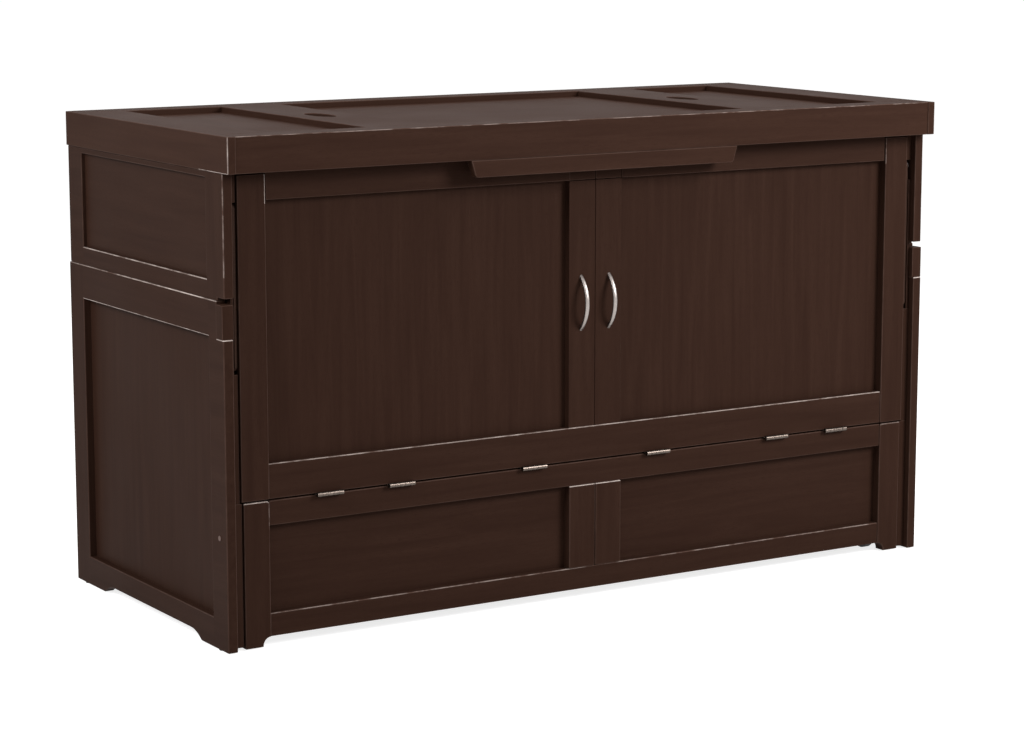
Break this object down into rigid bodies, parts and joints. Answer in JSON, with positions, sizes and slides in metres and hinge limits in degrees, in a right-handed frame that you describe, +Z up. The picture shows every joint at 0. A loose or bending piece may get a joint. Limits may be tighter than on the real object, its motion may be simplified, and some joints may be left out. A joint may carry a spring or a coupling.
{
  "type": "cabinet bed",
  "caption": "Low chest that opens into a bed: hinged lid, drop-down front with side legs, roll-out slatted base on wheels, and a mattress folded in thirds.",
  "frame": {"origin": "on the floor, under the middle of the overall box", "axes": "+X along the width, to the right of someone facing the front; the front faces -Y; +Z up"},
  "size_m": [1.65, 0.74, 0.966],
  "materials": {
    "dark_lacquered_wood": "satin lacquer",
    "slat_pine": "sanded",
    "dark_ply": "matt",
    "satin_nickel": "satin",
    "bronze_hinge": "satin",
    "zinc_steel": "zinc plated",
    "brown_steel": "powder coat",
    "black_plastic": "matt",
    "grey_rubber": "matt",
    "mattress_cover": "quilted knit"
  },
  "bodies": {
    "cabinet": {"lower_side_frame_left": "dark_lacquered_wood", "lower_side_frame_right": "dark_lacquered_wood", "lower_side_panel_left": "dark_lacquered_wood", "lower_side_panel_right": "dark_lacquered_wood", "upper_side_frame_left": "dark_lacquered_wood", "upper_side_frame_right": "dark_lacquered_wood", "upper_side_panel_left": "dark_lacquered_wood", "upper_side_panel_right": "dark_lacquered_wood", "corner_blocks": "dark_lacquered_wood", "side_fillers": "dark_lacquered_wood", "bolt_caps": "black_plastic", "foot_glides": "black_plastic", "back_rails": "dark_lacquered_wood", "back_panels": "dark_ply", "header_rail": "dark_lacquered_wood", "header_stretcher": "dark_lacquered_wood", "catch_magnets": "black_plastic", "slat_cross_rails": "slat_pine", "fixed_slats": "slat_pine", "base_guides": "slat_pine", "lid_hinge_case_leaves": "bronze_hinge", "mattress_sections": "mattress_cover"},
    "lid": {"lid_front_board": "dark_lacquered_wood", "lid_side_boards": "dark_lacquered_wood", "lid_rear_board": "dark_lacquered_wood", "lid_rails": "dark_lacquered_wood", "lid_end_stiles": "dark_lacquered_wood", "lid_cross_stiles": "dark_lacquered_wood", "lid_grip_cups": "black_plastic", "lid_panels": "dark_lacquered_wood", "lid_pull": "dark_lacquered_wood", "lid_hinge_lid_leaves": "bronze_hinge"},
    "base": {"base_posts": "dark_lacquered_wood", "base_rails": "dark_lacquered_wood", "base_centre_stiles": "dark_lacquered_wood", "base_panels": "dark_lacquered_wood", "base_slat_ledger": "slat_pine", "sliding_slats": "slat_pine", "carriage_rails": "dark_lacquered_wood", "caster_blocks": "slat_pine", "caster_forks": "zinc_steel", "caster_axles": "zinc_steel", "front_hinge_base_leaves": "bronze_hinge"},
    "drop_front": {"drop_stiles": "dark_lacquered_wood", "drop_bottom_rail": "dark_lacquered_wood", "drop_centre_stiles": "dark_lacquered_wood", "drop_panels": "dark_lacquered_wood", "drop_top_batten": "slat_pine", "catch_plates": "zinc_steel", "handle_left": "satin_nickel", "handle_right": "satin_nickel", "handle_screws": "zinc_steel", "leg_pins": "zinc_steel", "front_hinge_drop_leaves": "bronze_hinge"},
    "leg_left": {"support_leg_left": "brown_steel"},
    "leg_right": {"support_leg_right": "brown_steel"},
    "wheel_front_left": {"wheel_front_left": "grey_rubber"},
    "wheel_front_right": {"wheel_front_right": "grey_rubber"},
    "wheel_rear_left": {"wheel_rear_left": "grey_rubber"},
    "wheel_rear_right": {"wheel_rear_right": "grey_rubber"}
  },
  "joints": [
    {"name": "lid_hinge", "type": "hinge", "parent": "cabinet", "child": "lid", "pos_m": [0, 0.36515, 0.89775], "axis": [-1, 0, 0], "range_deg": [0, 95]},
    {"name": "base_slide", "type": "slide", "parent": "cabinet", "child": "base", "axis": [0, -1, 0], "range_m": [0, 0.6]},
    {"name": "front_hinge", "type": "hinge", "parent": "base", "child": "drop_front", "pos_m": [0, -0.334, 0.282], "axis": [1, 0, 0], "range_deg": [0, 90]},
    {"name": "leg_left_hinge", "type": "hinge", "parent": "drop_front", "child": "leg_left", "pos_m": [-0.7915, -0.314, 0.83], "axis": [-1, 0, 0], "range_deg": [0, 90]},
    {"name": "leg_right_hinge", "type": "hinge", "parent": "drop_front", "child": "leg_right", "pos_m": [0.7915, -0.314, 0.83], "axis": [-1, 0, 0], "range_deg": [0, 90]},
    {"name": "wheel_front_left_spin", "type": "hinge", "parent": "base", "child": "wheel_front_left", "pos_m": [-0.738, -0.27, 0.025], "axis": [1, 0, 0], "continuous": true},
    {"name": "wheel_front_right_spin", "type": "hinge", "parent": "base", "child": "wheel_front_right", "pos_m": [0.738, -0.27, 0.025], "axis": [1, 0, 0], "continuous": true},
    {"name": "wheel_rear_left_spin", "type": "hinge", "parent": "base", "child": "wheel_rear_left", "pos_m": [-0.738, 0.27, 0.025], "axis": [1, 0, 0], "continuous": true},
    {"name": "wheel_rear_right_spin", "type": "hinge", "parent": "base", "child": "wheel_rear_right", "pos_m": [0.738, 0.27, 0.025], "axis": [1, 0, 0], "continuous": true}
  ]
}
